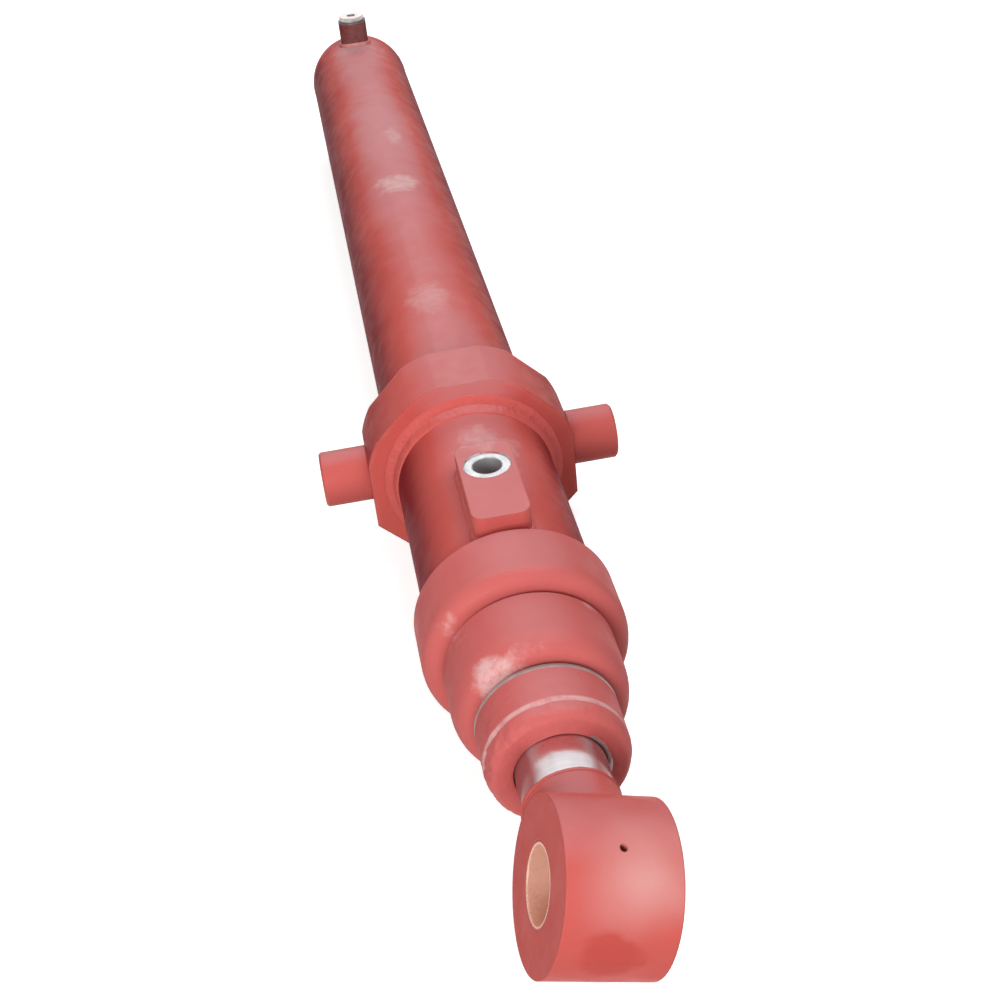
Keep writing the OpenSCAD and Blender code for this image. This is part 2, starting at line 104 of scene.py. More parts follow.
AXIS_Z = middle("barrel_tube").z
BARREL_R = radius("barrel_tube")
HEAD_FRONT = corners("barrel_head")[0].y
RING_FRONT = corners("trunnion_ring")[0].y
RING_BACK = corners("trunnion_ring")[1].y
CAP_SEAM = middle("base_weld").y
ROD_FRONT = corners("plunger_rod")[0].y
ROD_R = radius("plunger_rod")
BLOCK_LOW, BLOCK_HIGH = corners("port_block")
BOSS_LOW, BOSS_HIGH = corners("base_port_boss")
COLLAR_LOW, COLLAR_HIGH = corners("sleeve_2_collar")
MOUNTS = {mount["name"]: mount for mount in frame["record"]["mounts"]}
PORT_Y = MOUNTS["head_oil_port"]["pos_m"][1]
EYE = MOUNTS["rod_eye_bore"]
EYE_R = EYE["pos_m"][1] - corners("rod_eye")[0].y

# Parts whose enamel gets strong painted shade on its sides and painted sheen on top.
DEEP_SHADE_PARTS = (
    "barrel_tube",
    "base_cap",
)
# Parts whose enamel gets light painted shade on its sides.
LIGHT_SHADE_PARTS = (
    "barrel_head",
    "sleeve_1_collar",
)
BRONZE = (
    "barrel_guide_ring",
    "sleeve_1_guide_ring",
    "sleeve_2_guide_ring",
    "sleeve_1_bearing_ring",
    "sleeve_2_bearing_ring",
    "plunger_bearing_ring",
)
TURNED = (
    "sleeve_1_foot",
    "sleeve_2_foot",
    "plunger_foot",
    "sleeve_1_snap_rings",
    "sleeve_2_snap_rings",
    "plunger_snap_rings",
)
SOFTENED_EDGES = {
    "trunnion_ring": 0.0035,
    "trunnion_pin_left": 0.0012,
    "trunnion_pin_right": 0.0012,
    "port_block": 0.0022,
    "base_port_boss": 0.0014,
}
# Pale places on the enamel: some are rubbed, chalky scuff marks and some are painted highlights and sheen, such
# as the pale wash behind the port block and the pale edges at the head's front. Columns: turn from the top
# towards +X in degrees, distance back from the head's face, radius of the surface, half width, half length and
# strength.
SCUFFS_AND_HIGHLIGHTS = (
    (0.0, 0.804, BARREL_R, 0.036, 0.034, 0.60),
    (-5.0, 0.492, BARREL_R, 0.026, 0.044, 0.28),
    (11.0, 0.965, BARREL_R, 0.016, 0.040, 0.35),
    (-2.0, 1.355, BARREL_R, 0.045, 0.030, 0.40),
    (3.0, 0.190, BARREL_R, 0.030, 0.045, 0.40),
    (-50.0, -0.008, radius("barrel_head"), 0.022, 0.016, 0.80),
    (-33.0, -0.063, radius("sleeve_1_collar"), 0.038, 0.012, 0.62),
    (46.0, -0.006, radius("barrel_head"), 0.018, 0.008, 0.60),
)


# Settings.


class CYL_PG_paint(PropertyGroup):
    """Colours and surface of the enamel."""

    coral: FloatVectorProperty(
        name="Coral",
        description="Main colour of the enamel",
        subtype="COLOR",
        size=3,
        default=(0.57, 0.096, 0.080),
    )
    deep: FloatVectorProperty(
        name="Deep red",
        description="Thick or shaded enamel",
        subtype="COLOR",
        size=3,
        default=(0.40, 0.050, 0.042),
    )
    faded: FloatVectorProperty(
        name="Faded", description="Enamel rubbed thin", subtype="COLOR", size=3, default=(0.60, 0.17, 0.15)
    )
    # Pale colour of the scuff marks; the same colour makes the painted highlights on the enamel.
    chalk_and_highlight: FloatVectorProperty(
        name="Chalk",
        description="Pale scuffs on the enamel",
        subtype="COLOR",
        size=3,
        default=(0.72, 0.52, 0.51),
    )
    # Painted shade: a darker colour laid on the enamel's sides, where less light falls.
    shaded: FloatVectorProperty(
        name="Shaded",
        description="Enamel low on the sides, away from the sun",
        subtype="COLOR",
        size=3,
        default=(0.15, 0.008, 0.013),
    )
    # Painted sheen: a pale colour laid on the enamel where it faces up, standing in for the reflection of the
    # sky.
    painted_sheen: FloatVectorProperty(
        name="Dusty",
        description="Enamel on top, paled by sun and dust",
        subtype="COLOR",
        size=3,
        default=(0.58, 0.27, 0.29),
    )
    gloss: FloatProperty(
        name="Gloss", description="Specular level of the enamel", default=0.025, min=0, max=1
    )
    roughness: FloatProperty(
        name="Roughness", description="Middle roughness of the enamel", default=0.42, min=0, max=1
    )
    coat: FloatProperty(
        name="Coat", description="Weight of the glossy top of the enamel", default=0.025, min=0, max=1
    )
    peel: FloatProperty(
        name="Orange peel", description="Height of the orange peel", default=0.00015, unit="LENGTH"
    )
    edge: FloatProperty(
        name="Edge", description="Rounding that paint gives an edge", default=0.0018, unit="LENGTH"
    )


class CYL_PG_metal(PropertyGroup):
    """Colours of the bare metals, seals and rubber."""

    chrome: FloatVectorProperty(
        name="Chrome",
        description="Hard chrome of the rod",
        subtype="COLOR",
        size=3,
        default=(0.78, 0.72, 0.74),
    )
    # Painted reflection: a red tint for the sides of the rod, standing in for the red collars and eye mirrored
    # in the chrome.
    red_reflection: FloatVectorProperty(
        name="Paint mist",
        description="Overspray on the sides of the rod",
        subtype="COLOR",
        size=3,
        default=(0.33, 0.095, 0.095),
    )
    steel: FloatVectorProperty(
        name="Steel",
        description="Ground steel of the sleeves",
        subtype="COLOR",
        size=3,
        default=(0.58, 0.58, 0.60),
    )
    turned: FloatVectorProperty(
        name="Turned steel",
        description="Steel as it leaves the lathe",
        subtype="COLOR",
        size=3,
        default=(0.42, 0.42, 0.43),
    )
    bronze: FloatVectorProperty(
        name="Bronze", description="Bearing bronze", subtype="COLOR", size=3, default=(0.86, 0.54, 0.42)
    )
    zinc: FloatVectorProperty(
        name="Zinc",
        description="Zinc plating of the plug",
        subtype="COLOR",
        size=3,
        default=(0.50, 0.45, 0.43),
    )
    seal: FloatVectorProperty(
        name="Seal",
        description="Polyurethane of the rod seals",
        subtype="COLOR",
        size=3,
        default=(0.10, 0.22, 0.42),
    )
    rubber: FloatVectorProperty(
        name="Rubber",
        description="Rubber of the wipers",
        subtype="COLOR",
        size=3,
        default=(0.035, 0.035, 0.038),
    )


class CYL_PG_weld(PropertyGroup):
    """Sizes of the weld beads."""

    ripple: FloatProperty(
        name="Ripple", description="Distance between two ripples", default=0.0056, unit="LENGTH"
    )
    ripple_h: FloatProperty(
        name="Ripple height", description="Height of a ripple", default=0.00022, unit="LENGTH"
    )
    lump_h: FloatProperty(name="Lumps", description="Unevenness of a bead", default=0.0008, unit="LENGTH")
    block_leg: FloatProperty(
        name="Block leg", description="Leg of the bead at the port block", default=0.0030, unit="LENGTH"
    )
    boss_leg: FloatProperty(
        name="Boss leg", description="Leg of the bead at the boss", default=0.0036, unit="LENGTH"
    )
    seam_w: FloatProperty(
        name="Seam width", description="Width of the bead over the base seam", default=0.008, unit="LENGTH"
    )
    seam_h: FloatProperty(
        name="Seam height", description="Height of the bead over the base seam", default=0.0006, unit="LENGTH"
    )
    rod_leg: FloatProperty(
        name="Rod leg", description="Leg of the bead at the rod", default=0.0028, unit="LENGTH"
    )


class CYL_PG_collar(PropertyGroup):
    """Shape of the front collar, which is built up with weld and ground by hand."""

    nose_in: FloatProperty(
        name="Nose inwards", description="Rounding of the front edge, inwards", default=0.007, unit="LENGTH"
    )
    nose_back: FloatProperty(
        name="Nose back",
        description="Rounding of the front edge, along the axis",
        default=0.012,
        unit="LENGTH",
    )
    length: FloatProperty(name="Length", description="Length of the collar", default=0.054, unit="LENGTH")
    step: FloatProperty(name="Step", description="Step behind the ground nose", default=0.0007, unit="LENGTH")
    tail: FloatProperty(name="Tail", description="Chamfer of the back edge", default=0.002, unit="LENGTH")
    gap: FloatProperty(
        name="Gap", description="Gap between the collar and the rod", default=0.0005, unit="LENGTH"
    )
    rough: FloatProperty(
        name="Roughness height", description="Height of the lumps on the nose", default=0.0020, unit="LENGTH"
    )
    around: IntProperty(name="Steps around", description="Faces around the collar", default=256, min=32)


class CYL_PG_stage(PropertyGroup):
    """Camera, lamps and floor."""

    azimuth: FloatProperty(
        name="Azimuth", description="Camera's turn about Z", default=math.radians(-5.95), subtype="ANGLE"
    )
    elevation: FloatProperty(
        name="Elevation",
        description="Camera's angle above level",
        default=math.radians(33.94),
        subtype="ANGLE",
    )
    roll: FloatProperty(
        name="Roll",
        description="Camera's turn about its own axis",
        default=math.radians(-6.66),
        subtype="ANGLE",
    )
    distance: FloatProperty(
        name="Distance", description="Camera to the plane of the head", default=1.1263, unit="LENGTH"
    )
    aim_right: FloatProperty(
        name="Aim right", description="Aim beside the head's middle", default=-0.0076, unit="LENGTH"
    )
    aim_up: FloatProperty(
        name="Aim up", description="Aim above the head's middle", default=0.1220, unit="LENGTH"
    )
    lens: FloatProperty(name="Lens", description="Focal length in millimetres", default=54.0, min=10)
    floor: FloatVectorProperty(
        name="Floor", description="Colour of the floor", subtype="COLOR", size=3, default=(0.90, 0.90, 0.90)
    )
    bounce: FloatProperty(
        name="Bounce", description="Share of the light that the floor gives back", default=0.5, min=0, max=1
    )
    glow: FloatProperty(
        name="Floor glow",
        description="White added to the floor that the camera sees",
        default=0.60,
        min=0,
        max=1,
    )
    sky: FloatProperty(name="Sky", description="Strength of the light from all around", default=0.30, min=0)
    key: FloatProperty(
        name="Key lamp", description="Power of the lamp overhead", default=44.0, min=0, unit="POWER"
    )
    back: FloatProperty(
        name="Back lamp", description="Power of the lamp behind", default=22.0, min=0, unit="POWER"
    )
    fill: FloatProperty(
        name="Fill lamp", description="Power of the lamp in front", default=64.0, min=0, unit="POWER"
    )


class CYL_PG_settings(PropertyGroup):
    """All settings of the finish."""

    paint: PointerProperty(type=CYL_PG_paint)
    metal: PointerProperty(type=CYL_PG_metal)
    weld: PointerProperty(type=CYL_PG_weld)
    collar: PointerProperty(type=CYL_PG_collar)
    stage: PointerProperty(type=CYL_PG_stage)


# Node helpers. Each adds one node and returns the socket that carries its result.


def feed(tree, socket, value):
    """Gives an input socket a link or a plain value."""
    if isinstance(value, bpy.types.NodeSocket):
        tree.links.new(value, socket)
    else:
        socket.default_value = value


def place(tree):
    """Coordinates in the cylinder's own frame, in metres."""
    return tree.nodes.new("ShaderNodeTexCoord").outputs["Object"]


def clouds(tree, where, scale, detail=3.0, roughness=0.5, stretch=None):
    """Noise from 0 to 1 at a scale per metre, drawn out where stretch is small."""
    if stretch:
        where = vector_step(tree, "MULTIPLY", where, stretch)
    node = tree.nodes.new("ShaderNodeTexNoise")
    feed(tree, node.inputs["Vector"], where)
    node.inputs["Scale"].default_value = scale
    node.inputs["Detail"].default_value = detail
    node.inputs["Roughness"].default_value = roughness
    return node.outputs["Fac"]


def ramp(tree, value, low, high, bottom=0.0, top=1.0, smooth=True):
    """Maps value from low..high to bottom..top, held at both ends."""
    node = tree.nodes.new("ShaderNodeMapRange")
    node.interpolation_type = "SMOOTHSTEP" if smooth else "LINEAR"
    feed(tree, node.inputs["Value"], value)
    node.inputs["From Min"].default_value = low
    node.inputs["From Max"].default_value = high
    node.inputs["To Min"].default_value = bottom
    node.inputs["To Max"].default_value = top
    return node.outputs["Result"]


def sum_up(tree, operation, first, second):
    """One step of arithmetic on two values."""
    node = tree.nodes.new("ShaderNodeMath")
    node.operation = operation
    feed(tree, node.inputs[0], first)
    feed(tree, node.inputs[1], second)
    return node.outputs[0]


def blend(tree, amount, first, second):
    """Mixes two colours."""
    node = tree.nodes.new("ShaderNodeMix")
    node.data_type = "RGBA"
    colour_inputs = [s for s in node.inputs if s.type == "RGBA"]
    feed(tree, node.inputs[0], amount)
    for socket, value in zip(colour_inputs, (first, second)):
        feed(tree, socket, value if isinstance(value, bpy.types.NodeSocket) else (*value, 1.0))
    return next(s for s in node.outputs if s.type == "RGBA")


def along(tree, where, axis):
    """One coordinate of a place: X, Y or Z."""
    node = tree.nodes.new("ShaderNodeSeparateXYZ")
    feed(tree, node.inputs[0], where)
    return node.outputs[axis]


def vector_step(tree, operation, first, second=None):
    """One step of vector arithmetic."""
    node = tree.nodes.new("ShaderNodeVectorMath")
    node.operation = operation
    feed(tree, node.inputs[0], first)
    if second is not None:
        feed(tree, node.inputs[1], second)
    return node.outputs["Value"] if operation in ("LENGTH", "DOT_PRODUCT") else node.outputs["Vector"]


def from_line(tree, where, point, direction):
    """Distance from a line through a point in a direction of length 1."""
    shift = vector_step(tree, "SUBTRACT", where, point)
    return vector_step(tree, "LENGTH", vector_step(tree, "CROSS_PRODUCT", shift, direction))


def soft_normal(tree, reach):
    """Normal rounded over the edges within reach."""
    node = tree.nodes.new("ShaderNodeBevel")
    node.samples = 4
    node.inputs["Radius"].default_value = reach
    return node.outputs["Normal"]


def way_out(tree, where):
    """Direction straight out from the cylinder's axis."""
    shift = vector_step(tree, "SUBTRACT", where, (0.0, 0.0, AXIS_Z))
    out = vector_step(tree, "MULTIPLY", shift, (1.0, 0.0, 1.0))
    return vector_step(tree, "NORMALIZE", out)


def round_normal(tree, where, normal, share):
    """Normal turned by a share towards the way out from the axis, but not on faces that lie across the axis."""
    out = way_out(tree, where)
    geometry = tree.nodes.new("ShaderNodeNewGeometry")
    plain = vector_step(tree, "DOT_PRODUCT", geometry.outputs["Normal"], out)
    amount = ramp(tree, plain, 0.80, 0.92, 0.0, share)
    node = tree.nodes.new("ShaderNodeMix")
    node.data_type = "VECTOR"
    vector_inputs = [s for s in node.inputs if s.type == "VECTOR" and s.name in ("A", "B")]
    feed(tree, node.inputs[0], amount)
    feed(tree, vector_inputs[0], normal)
    feed(tree, vector_inputs[1], out)
    return vector_step(tree, "NORMALIZE", next(s for s in node.outputs if s.type == "VECTOR"))


def edge_mask(tree, reach):
    """1 along sharp edges within reach and 0 on plain faces."""
    geometry = tree.nodes.new("ShaderNodeNewGeometry")
    same = vector_step(tree, "DOT_PRODUCT", soft_normal(tree, reach), geometry.outputs["Normal"])
    return ramp(tree, same, 0.985, 0.80)


def bumped(tree, height, distance, normal=None):
    """Normal bent by a height map of the given height in metres."""
    node = tree.nodes.new("ShaderNodeBump")
    node.inputs["Strength"].default_value = 1.0
    node.inputs["Distance"].default_value = distance
    feed(tree, node.inputs["Height"], height)
    if normal is not None:
        feed(tree, node.inputs["Normal"], normal)
    return node.outputs["Normal"]


def new_finish(name):
    """An empty material and its node tree and shader."""
    material = bpy.data.materials.new(name)
    material.use_nodes = True
    tree = material.node_tree
    return material, tree, tree.nodes["Principled BSDF"]


# Finishes.


def spot(tree, where, centre, half, ragged, middle_share=0.35, strength=1.0):
    """Mask of one place: strength inside middle_share of its half widths, and 0 beyond them."""
    share = vector_step(tree, "DIVIDE", vector_step(tree, "SUBTRACT", where, centre), half)
    away = sum_up(tree, "ADD", vector_step(tree, "LENGTH", share), ragged)
    return ramp(tree, away, 1.0, middle_share, 0.0, strength)


def halfway(first, second):
    """The colour halfway between two colours."""
    return tuple((a + b) / 2 for a, b in zip(first, second))


def scuff_and_highlight_places(tree, where):
    """Mask of the scuff marks and the painted highlights, ragged at their edges."""
    ragged = ramp(tree, clouds(tree, where, 34.0, 4.0, 0.6), 0.3, 0.7, -0.45, 0.45, smooth=False)
    mask = None
    for turn, back, size, half_width, half_length, strength in SCUFFS_AND_HIGHLIGHTS:
        angle = math.radians(turn)
        centre = (size * math.sin(angle), HEAD_FRONT + back, AXIS_Z + size * math.cos(angle))
        one = spot(tree, where, centre, (half_width, half_length, half_width), ragged, strength=strength)
        mask = one if mask is None else sum_up(tree, "MAXIMUM", mask, one)
    return mask


def on_eye(turn, sideways):
    """Point on the round face of the eye: degrees from its top to the front, and metres to the right."""
    across = Vector(EYE["axis"]).normalized()
    across = across if across.x > 0 else -across
    upright = Vector((0.0, 1.0, 0.0)).cross(across)
    upright = upright if upright.z > 0 else -upright
    angle = math.radians(turn)
    out = upright * math.cos(angle) - Vector((0.0, 1.0, 0.0)) * math.sin(angle)
    return Vector(EYE["pos_m"]) + across * sideways + out * EYE_R


def enamel(
    name,
    paint,
    metal,
    bare=None,
    lumps=0.0,
    edge_wear_and_highlight=None,
    tone=1.0,
    shade=0.15,
    edge=None,
    paled=None,
    painted_reflection=None,
    bleach=0.2,
    rounded=0.0,
):
    """Hand-applied enamel.

    These draw masks that are 1 at their places: bare where the metal shows, edge_wear_and_highlight along an
    edge that is rubbed pale and carries a painted highlight, paled where a painted highlight lies, and
    painted_reflection where a painted dark reflection lies. tone below 1 darkens the colour, shade sets how much
    painted shade darkens the sides, and bleach is the least share of the painted sheen colour, which every face
    gets. Faces that point up get painted sheen. edge is how far the edges are rounded. rounded is how far a face
    about the cylinder's axis is shaded as if it were round.
    """
    edge = edge or paint.edge
    material, tree, shader = new_finish(name)
    where = place(tree)
    mottle = ramp(tree, clouds(tree, where, 5.5, 4.0, 0.55), 0.32, 0.70)
    grain = clouds(tree, where, 60.0, 5.0, 0.6)
    streak = clouds(tree, where, 30.0, 4.0, 0.6, stretch=(1.0, 0.45, 1.0))
    colour = blend(tree, ramp(tree, mottle, 0.0, 1.0, 0.0, 0.28), tuple(paint.coral), tuple(paint.deep))
    plain = tree.nodes.new("ShaderNodeTexCoord").outputs["Normal"]
    facing = along(tree, way_out(tree, where) if rounded else plain, "Z")
    wander = ramp(tree, clouds(tree, where, 9.0, 3.0, 0.5), 0.25, 0.75, -0.05, 0.05)
    facing = sum_up(tree, "ADD", facing, wander)
    front = ramp(tree, along(tree, plain, "Y"), -0.25, -0.75)
    # Painted shade: faces that point neither up nor to the front are darkened towards the shaded colour, as much
    # as shade says.
    side = sum_up(tree, "MULTIPLY", ramp(tree, facing, 0.93, 0.36), ramp(tree, front, 0.0, 1.0, 1.0, 0.0))
    colour = blend(tree, sum_up(tree, "MULTIPLY", side, shade), colour, tuple(paint.shaded))
    # Painted sheen: faces that point up are paled towards the sheen colour, more so farther back along Y; bleach
    # is the least share, which every face gets.
    far = ramp(tree, along(tree, where, "Y"), 0.0, 0.60, 1.0, 1.6)
    dust = sum_up(tree, "MULTIPLY", ramp(tree, facing, 0.80, 1.02, bleach, 0.48), far)
    colour = blend(tree, dust, colour, tuple(paint.painted_sheen))
    # Painted highlight where paled marks it.
    if paled is not None:
        colour = blend(tree, paled(tree, where), colour, halfway(paint.chalk_and_highlight, paint.faded))
    # Painted dark reflection, in a colour between coral and deep red.
    if painted_reflection is not None:
        colour = blend(tree, painted_reflection(tree, where), colour, halfway(paint.coral, paint.deep))
    colour = blend(tree, ramp(tree, streak, 0.60, 0.90, 0.0, 0.06), colour, tuple(paint.faded))
    colour = blend(tree, ramp(tree, grain, 0.60, 0.80, 0.0, 0.10), colour, tuple(paint.deep))
    rubbed = sum_up(tree, "MULTIPLY", edge_mask(tree, edge * 1.6), ramp(tree, grain, 0.40, 0.62))
    colour = blend(tree, sum_up(tree, "MULTIPLY", rubbed, 0.55), colour, tuple(paint.faded))
    scratches = ramp(tree, clouds(tree, where, 120.0, 4.0, 0.7), 0.22, 0.60, 0.25, 1.0)
    # Scuff marks and painted highlights, paled towards the chalky colour.
    places = scuff_and_highlight_places(tree, where)
    # A pale line that is partly rubbed wear and partly a painted edge highlight joins them.
    if edge_wear_and_highlight is not None:
        places = sum_up(tree, "MAXIMUM", places, edge_wear_and_highlight(tree, where))
    scuffs_and_highlights = sum_up(tree, "MULTIPLY", places, scratches)
    colour = blend(tree, scuffs_and_highlights, colour, tuple(paint.chalk_and_highlight))
    rough = ramp(tree, grain, 0.25, 0.75, paint.roughness - 0.10, paint.roughness + 0.12)
    rough = sum_up(tree, "ADD", rough, sum_up(tree, "MULTIPLY", scuffs_and_highlights, 0.25))
    rough = sum_up(tree, "ADD", rough, sum_up(tree, "MULTIPLY", side, 0.15))
    normal = soft_normal(tree, edge)
    if rounded:
        normal = round_normal(tree, where, normal, rounded)
    if lumps:
        blobs = clouds(tree, where, 95.0, 4.0, 0.62)
        normal = bumped(tree, blobs, lumps, normal)
    sag = clouds(tree, where, 38.0, 2.0, 0.5)
    normal = bumped(tree, sag, paint.peel * 0.9, normal)
    peel = clouds(tree, where, 520.0, 2.0, 0.5)
    normal = bumped(tree, peel, paint.peel, normal)
    if bare is not None:
        ragged = sum_up(tree, "ADD", bare(tree, where), ramp(tree, grain, 0.3, 0.7, -0.35, 0.35))
        mask = ramp(tree, ragged, 0.42, 0.58)
        colour = blend(tree, mask, colour, blend(tree, grain, tuple(metal), tuple(c * 0.8 for c in metal)))
        feed(tree, shader.inputs["Metallic"], sum_up(tree, "MULTIPLY", mask, 0.5))
        rough = sum_up(tree, "ADD", rough, sum_up(tree, "MULTIPLY", mask, -0.08))
    if tone != 1.0:
        colour = blend(tree, 1.0 - tone, colour, tuple(c * 0.2 for c in paint.shaded))
    feed(tree, shader.inputs["Base Color"], colour)
    feed(tree, shader.inputs["Roughness"], rough)
    feed(tree, shader.inputs["Normal"], normal)
    shader.inputs["Specular IOR Level"].default_value = paint.gloss
    shader.inputs["Coat Weight"].default_value = paint.coat
    shader.inputs["Coat Roughness"].default_value = 0.2
    return material


def bright_metal(name, colour, roughness, lines, depth, smudge=0.12, red_reflection=None):
    """Metal with fine turning or honing lines about the cylinder's axis and faint oil smudges.

    The last argument, if given, is the colour of a painted reflection: a red tint laid on the sides of the
    length that shows when closed, standing in for the red parts mirrored in the chrome.
    """
    material, tree, shader = new_finish(name)
    where = place(tree)
    rings = clouds(tree, where, lines, 2.0, 0.6, stretch=(0.02, 1.0, 0.02))
    smears = clouds(tree, where, 42.0, 3.0, 0.55, stretch=(1.0, 0.5, 1.0))
    dark = tuple(c * 0.72 for c in colour)
    mixed = blend(tree, ramp(tree, smears, 0.45, 0.72, 0.0, 0.6), tuple(colour), dark)
    mixed = blend(tree, ramp(tree, rings, 0.35, 0.65, 0.0, 0.25), mixed, dark)
    # Painted reflection on the rod's sides where it shows when closed: the red tint replaces the chrome colour
    # there, and the metal turns mostly non-metallic.
    if red_reflection is not None:
        facing = along(tree, tree.nodes.new("ShaderNodeTexCoord").outputs["Normal"], "Z")
        shown = ramp(tree, along(tree, where, "Y"), COLLAR_LOW.y + 0.006, COLLAR_LOW.y + 0.001)
        facing = sum_up(tree, "ADD", facing, ramp(tree, smears, 0.3, 0.7, -0.05, 0.05))
        reflection_share = ramp(tree, facing, 0.95, 0.68, 0.0, 1.0)
        reflection_share = sum_up(tree, "MULTIPLY", reflection_share, shown)
        mixed = blend(tree, reflection_share, mixed, red_reflection)
        feed(tree, shader.inputs["Metallic"], ramp(tree, reflection_share, 0.0, 1.0, 1.0, 0.15, smooth=False))
        shader.inputs["Specular IOR Level"].default_value = 0.08
    else:
        shader.inputs["Metallic"].default_value = 1.0
    rough = ramp(tree, smears, 0.35, 0.70, roughness, roughness + smudge)
    feed(tree, shader.inputs["Base Color"], mixed)
    feed(tree, shader.inputs["Roughness"], rough)
    feed(tree, shader.inputs["Normal"], bumped(tree, rings, depth, soft_normal(tree, 0.0006)))
    return material


def moulded(name, colour, roughness):
    """Moulded rubber or polyurethane with a faint grain and dust."""
    material, tree, shader = new_finish(name)
    where = place(tree)
    grain = clouds(tree, where, 300.0, 3.0, 0.6)
    dust = ramp(tree, clouds(tree, where, 40.0, 3.0, 0.5), 0.5, 0.8, 0.0, 0.3)
    mixed = blend(tree, dust, tuple(colour), tuple(min(1.0, c * 1.6 + 0.03) for c in colour))
    feed(tree, shader.inputs["Base Color"], mixed)
    feed(tree, shader.inputs["Roughness"], ramp(tree, grain, 0.3, 0.7, roughness - 0.08, roughness + 0.1))
    feed(tree, shader.inputs["Normal"], bumped(tree, grain, 0.00005))
    return material


def seen_rays(tree):
    """1 for rays from the camera and in gloss or glass, and 0 for the light that the stage gives."""
    rays = tree.nodes.new("ShaderNodeLightPath")
    seen = sum_up(tree, "MAXIMUM", rays.outputs["Is Camera Ray"], rays.outputs["Is Glossy Ray"])
    return sum_up(tree, "MAXIMUM", seen, rays.outputs["Is Transmission Ray"])


def floor_finish(colour, bounce, glow):
    """Finish of the floor: pale and faintly uneven, and whiter to look at than the light it gives back."""
    material, tree, shader = new_finish("studio_floor")
    where = place(tree)
    shade = clouds(tree, where, 1.5, 2.0, 0.5)
    darker = tuple(c * 0.985 for c in colour)
    pale = blend(tree, shade, tuple(colour), darker)
    given = tuple(c * bounce for c in colour)
    feed(tree, shader.inputs["Base Color"], blend(tree, seen_rays(tree), given, pale))
    shader.inputs["Roughness"].default_value = 0.9
    shader.inputs["Specular IOR Level"].default_value = 0.1
    shader.inputs["Emission Color"].default_value = (1.0, 1.0, 1.0, 1.0)
    feed(tree, shader.inputs["Emission Strength"], sum_up(tree, "MULTIPLY", seen_rays(tree), glow))
    return material


def put_on(node, material):
    """Gives a frame node or a new piece one material."""
    piece = frame["nodes"].get(node) if isinstance(node, str) else node
    slots = piece.data.materials
    if len(slots) == 0:
        slots.append(material)
    for index in range(len(slots)):
        slots[index] = material


def soften(node, width, segments=3):
    """Rounds the sharp edges of a frame node as paint and wear do."""
    piece = frame["nodes"][node]
    join = piece.modifiers.new("join", "WELD")
    join.merge_threshold = 0.00002
    edge = piece.modifiers.new("edge", "BEVEL")
    edge.width = width
    edge.segments = segments
    edge.limit_method = "ANGLE"
    edge.angle_limit = SHARP_TURN
    edge.use_clamp_overlap = True
    edge.harden_normals = False


# Shapes.


def add_piece(name, points, faces, body, slot, *nodes):
    """Makes a smooth mesh piece, rides it on a body and lets it stand for frame nodes."""
    mesh = bpy.data.meshes.new(name)
    mesh.from_pydata(points, [], faces)
    mesh.update()
    for face in mesh.polygons:
        face.use_smooth = True
    piece = bpy.data.objects.new(name, mesh)
    bpy.context.scene.collection.objects.link(piece)
    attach(piece, body)
    if nodes:
        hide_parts(*nodes)
    return piece


def loop_faces(around, across):
    """Quads of a tube whose sections are closed loops, wound around a closed path."""
    faces = []
    for i in range(around):
        for j in range(across):
            a = i * across + j
            b = i * across + (j + 1) % across
            c = (i + 1) % around * across + (j + 1) % across
            d = (i + 1) % around * across + j
            faces.append((a, b, c, d))
    return faces


def bead(name, path, section, weld, body, passes=1, flip=False, nodes=(), height=1.0):
    """A weld bead: a section carried along a closed path, with ripples and lumps.

    path holds (foot, out, up, run): a point in the corner of the joint, the two directions of its
    legs, and the distance run so far. section holds (out, up, weight) in metres, where weight says how far
    ripples and lumps lift the point.
    """
    points = []
    across = len(section)
    for foot, out, up, run in path:
        for j, (a, b, weight) in enumerate(section):
            plain = foot + out * a + up * b
            face = (out + up).normalized()
            bend = (2.0 * j / (across - 1) - 1.0) ** 2
            phase = run / weld.ripple + 0.4 * bend * passes
            crest = abs(math.sin(math.pi * phase)) ** 0.6
            lump = noise.noise(plain * 85.0) + 0.5 * noise.noise(plain * 260.0)
            lift = weld.ripple_h * (crest - 0.6) + weld.lump_h * lump
            points.append(plain + face * (lift * weight * height))
    faces = loop_faces(len(path), across)
    if flip:
        faces = [tuple(reversed(f)) for f in faces]
    return add_piece(name, points, faces, body, "weld_enamel", *nodes)


def fillet_section(leg_out, leg_up, passes, sink=0.0008, steps=18):
    """Section of a bead in a corner: one to three rounded passes between the ends of its two legs."""
    section = []
    for i in range(steps + 1):
        t = i / steps
        hump = abs(math.sin(math.pi * passes * t)) ** 0.7
        full = 0.80 + 0.20 * hump if passes > 1 else 0.70 + 0.38 * math.sin(math.pi * t)
        hollow = 1.0 - (0.34 if passes > 1 else 0.0) * math.sin(math.pi * t)
        weight = min(1.0, 4.0 * t, 4.0 * (1.0 - t))
        scale = (full * hollow) / (0.80 if passes > 1 else 0.70)
        section.append((leg_out * t * scale, leg_up * (1.0 - t) * scale, weight))
    section.append((leg_out, -sink, 0.0))
    section.append((-sink, -sink, 0.0))
    section.append((-sink, leg_up, 0.0))
    return section


def circle_path(centre, size, along_axis, steps):
    """Closed path around the cylinder's axis. Its legs point outwards and along the axis."""
    path = []
    for i in range(steps):
        angle = 2.0 * math.pi * i / steps
        out = Vector((math.cos(angle), 0.0, math.sin(angle)))
        path.append((centre + out * size, out, Vector((0.0, along_axis, 0.0)), size * angle))
    return path


def on_barrel(x, y):
    """Point on top of the barrel above a place in plan."""
    return Vector((x, y, AXIS_Z + math.sqrt(BARREL_R**2 - x**2)))


